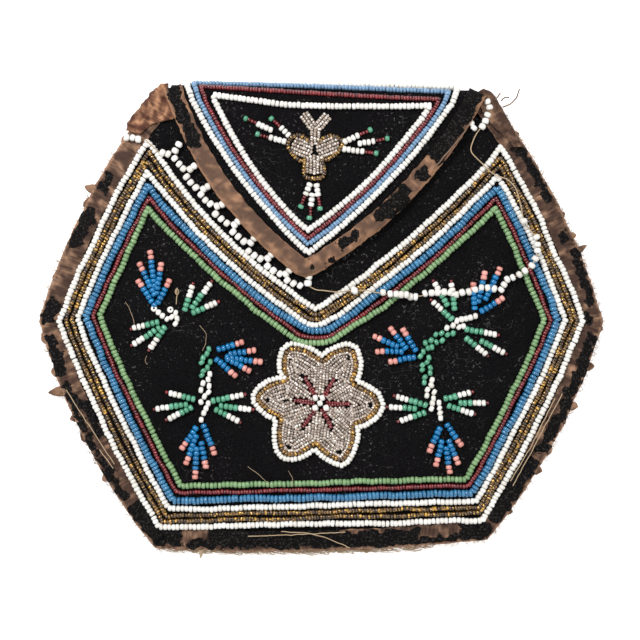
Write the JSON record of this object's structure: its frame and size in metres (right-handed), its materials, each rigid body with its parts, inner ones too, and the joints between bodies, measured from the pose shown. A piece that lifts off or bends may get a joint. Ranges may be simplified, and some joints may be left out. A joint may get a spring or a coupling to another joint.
{
  "type": "beaded bag",
  "caption": "Flat six-sided velvet purse with a pointed fold-over flap, silk-bound edges, and rows, flowers and sprays of glass bead embroidery on the front.",
  "frame": {"origin": "middle of the bag's outline seen from above, on the plane that its back rests on", "axes": "+X across the width towards the right as the front is seen, +Y towards the mouth and the fold of the flap, +Z out of the beaded front"},
  "size_m": [0.17, 0.1422, 0.0144],
  "materials": {
    "back_interlining": "plain, stiffened",
    "back_lining": "plain weave",
    "back_velvet": "soft black pile",
    "bead_lace": "glossy",
    "edge_binding": "worn silk",
    "flap_binding": "worn silk",
    "flap_interlining": "plain, stiffened",
    "flap_left_fan": "glossy, translucent",
    "flap_left_petal": "clear, faceted",
    "flap_left_petal_outline": "metallic gloss",
    "flap_lining": "plain weave",
    "flap_low_fan": "glossy, translucent",
    "flap_low_petal": "clear, faceted",
    "flap_low_petal_outline": "metallic gloss",
    "flap_right_fan": "glossy, translucent",
    "flap_right_petal": "clear, faceted",
    "flap_right_petal_outline": "metallic gloss",
    "flap_row_inner_white": "glossy",
    "flap_row_outer_white": "glossy",
    "flap_row_red": "glossy, translucent",
    "flap_row_sky_blue": "glossy",
    "flap_sprig": "clear, faceted",
    "flap_velvet": "soft black pile",
    "front_interlining": "plain, stiffened",
    "front_lining": "plain weave",
    "front_row_blue": "glossy",
    "front_row_gold_inner": "metallic gloss",
    "front_row_gold_outer": "metallic gloss",
    "front_row_green": "glossy",
    "front_row_inner_white": "glossy",
    "front_row_outer_white": "glossy",
    "front_row_red": "glossy, translucent",
    "front_velvet": "soft black pile",
    "left_branch": "glossy",
    "left_green_stem": "glossy",
    "left_inner_leaf_fan": "glossy",
    "left_low_blue_fan": "glossy",
    "left_outer_leaf_fan": "glossy",
    "left_side_blue_fan": "glossy",
    "left_top_blue_fan": "glossy",
    "left_top_leaf_fan": "glossy",
    "left_top_lower_leaf_fan": "glossy",
    "left_white_stem": "glossy",
    "loose_strand": "glossy",
    "mouth_binding": "worn silk",
    "right_branch": "glossy",
    "right_green_stem": "glossy",
    "right_inner_leaf_fan": "glossy",
    "right_low_blue_fan": "glossy",
    "right_lower_leaf_fan": "glossy",
    "right_outer_leaf_fan": "glossy",
    "right_side_blue_fan": "glossy",
    "right_top_blue_fan": "glossy",
    "right_top_leaf_fan": "glossy",
    "right_white_stem": "glossy",
    "star_crystal_field": "clear, faceted",
    "star_gold_outline": "metallic gloss",
    "star_heart": "glossy",
    "star_veins": "glossy, translucent",
    "star_white_outline": "glossy"
  },
  "bodies": {
    "root": {"back_interlining": "back_interlining", "back_lining": "back_lining", "back_velvet": "back_velvet", "bead_lace": "bead_lace", "edge_binding": "edge_binding", "flap_binding": "flap_binding", "flap_interlining": "flap_interlining", "flap_left_fan": "flap_left_fan", "flap_left_petal": "flap_left_petal", "flap_left_petal_outline": "flap_left_petal_outline", "flap_lining": "flap_lining", "flap_low_fan": "flap_low_fan", "flap_low_petal": "flap_low_petal", "flap_low_petal_outline": "flap_low_petal_outline", "flap_right_fan": "flap_right_fan", "flap_right_petal": "flap_right_petal", "flap_right_petal_outline": "flap_right_petal_outline", "flap_row_inner_white": "flap_row_inner_white", "flap_row_outer_white": "flap_row_outer_white", "flap_row_red": "flap_row_red", "flap_row_sky_blue": "flap_row_sky_blue", "flap_sprig": "flap_sprig", "flap_velvet": "flap_velvet", "front_interlining": "front_interlining", "front_lining": "front_lining", "front_row_blue": "front_row_blue", "front_row_gold_inner": "front_row_gold_inner", "front_row_gold_outer": "front_row_gold_outer", "front_row_green": "front_row_green", "front_row_inner_white": "front_row_inner_white", "front_row_outer_white": "front_row_outer_white", "front_row_red": "front_row_red", "front_velvet": "front_velvet", "left_branch": "left_branch", "left_green_stem": "left_green_stem", "left_inner_leaf_fan": "left_inner_leaf_fan", "left_low_blue_fan": "left_low_blue_fan", "left_outer_leaf_fan": "left_outer_leaf_fan", "left_side_blue_fan": "left_side_blue_fan", "left_top_blue_fan": "left_top_blue_fan", "left_top_leaf_fan": "left_top_leaf_fan", "left_top_lower_leaf_fan": "left_top_lower_leaf_fan", "left_white_stem": "left_white_stem", "loose_strand": "loose_strand", "mouth_binding": "mouth_binding", "right_branch": "right_branch", "right_green_stem": "right_green_stem", "right_inner_leaf_fan": "right_inner_leaf_fan", "right_low_blue_fan": "right_low_blue_fan", "right_lower_leaf_fan": "right_lower_leaf_fan", "right_outer_leaf_fan": "right_outer_leaf_fan", "right_side_blue_fan": "right_side_blue_fan", "right_top_blue_fan": "right_top_blue_fan", "right_top_leaf_fan": "right_top_leaf_fan", "right_white_stem": "right_white_stem", "star_crystal_field": "star_crystal_field", "star_gold_outline": "star_gold_outline", "star_heart": "star_heart", "star_veins": "star_veins", "star_white_outline": "star_white_outline"}
  },
  "joints": []
}
